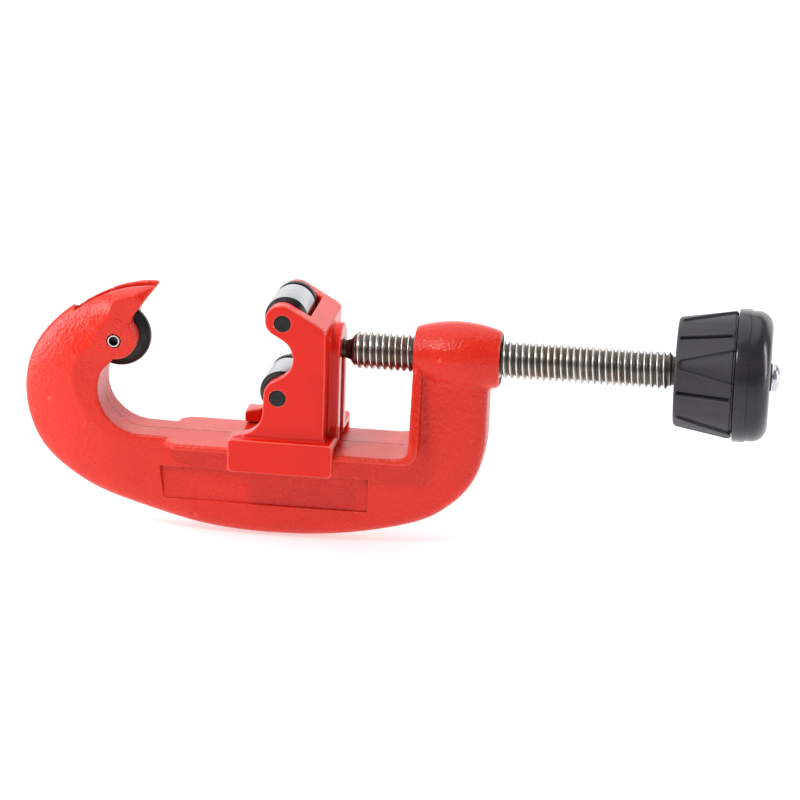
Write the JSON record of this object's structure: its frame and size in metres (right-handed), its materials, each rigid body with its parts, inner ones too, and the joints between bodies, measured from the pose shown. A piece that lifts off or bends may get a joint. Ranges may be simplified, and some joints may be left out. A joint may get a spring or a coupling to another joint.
{
  "type": "pipe cutter",
  "caption": "C-frame pipe cutter: slotted beak with cutter wheel, grooved-roller slide on a T rail, screw spindle through a barrel boss, ribbed knob.",
  "frame": {"origin": "middle of the whole cutter seen from above, at the height of the frame's lowest point", "axes": "+X along the spindle from the cutter wheel to the knob, +Z from the rail to the spindle, Y across the frame"},
  "size_m": [0.2395, 0.0414, 0.0829],
  "materials": {
    "red_enamel": "red powder coat, orange peel",
    "red_gloss": "glossy red enamel",
    "black_steel": "black oxide",
    "ground_steel": "ground",
    "pin_black": "black oxide, matt",
    "zinc_plate": "zinc plated",
    "oiled_steel": "oiled rolled thread",
    "nut_black": "black oxide",
    "hardened_steel": "hardened, ground",
    "black_plastic": "fine matt texture",
    "gloss_plastic": "satin to gloss",
    "bush_steel": "turned",
    "chrome": "chrome plated",
    "black_fibre": "matt"
  },
  "bodies": {
    "frame_body": {"frame": "red_enamel", "wheel_pin": "zinc_plate", "wheel_pin_clip": "hardened_steel", "spindle_nut": "nut_black"},
    "wheel_body": {"cutter_wheel": "black_steel"},
    "slide_body": {"roller_slide": "red_gloss", "upper_roller_pin": "pin_black", "lower_roller_pin": "pin_black", "thrust_disc": "hardened_steel"},
    "upper_roller_body": {"upper_roller": "ground_steel"},
    "lower_roller_body": {"lower_roller": "ground_steel"},
    "spindle_body": {"spindle": "oiled_steel", "knob_body": "black_plastic", "knob_bush": "bush_steel", "knob_cross_pin": "hardened_steel", "knob_cap": "gloss_plastic", "cap_screw": "chrome", "cap_washer": "black_fibre", "spare_cutter_wheel": "black_steel", "spare_wheel_spacer": "hardened_steel"}
  },
  "joints": [
    {"name": "slide_travel", "type": "slide", "parent": "frame_body", "child": "slide_body", "axis": [1, 0, 0], "range_m": [-0.0335, 0.0225]},
    {"name": "spindle_turn", "type": "hinge", "parent": "slide_body", "child": "spindle_body", "pos_m": [0, 0, 0.0624], "axis": [1, 0, 0], "range_deg": [-6035, 4055]},
    {"name": "wheel_spin", "type": "hinge", "parent": "frame_body", "child": "wheel_body", "pos_m": [-0.0896, 0, 0.0624], "axis": [0, 1, 0], "continuous": true},
    {"name": "upper_roller_spin", "type": "hinge", "parent": "slide_body", "child": "upper_roller_body", "pos_m": [-0.0346, 0, 0.0739], "axis": [0, 1, 0], "continuous": true},
    {"name": "lower_roller_spin", "type": "hinge", "parent": "slide_body", "child": "lower_roller_body", "pos_m": [-0.0357, 0, 0.0496], "axis": [0, 1, 0], "continuous": true}
  ],
  "couplings": [
    {"joint": "spindle_turn", "follows": "slide_travel", "rad_per_m": 3141.6}
  ]
}
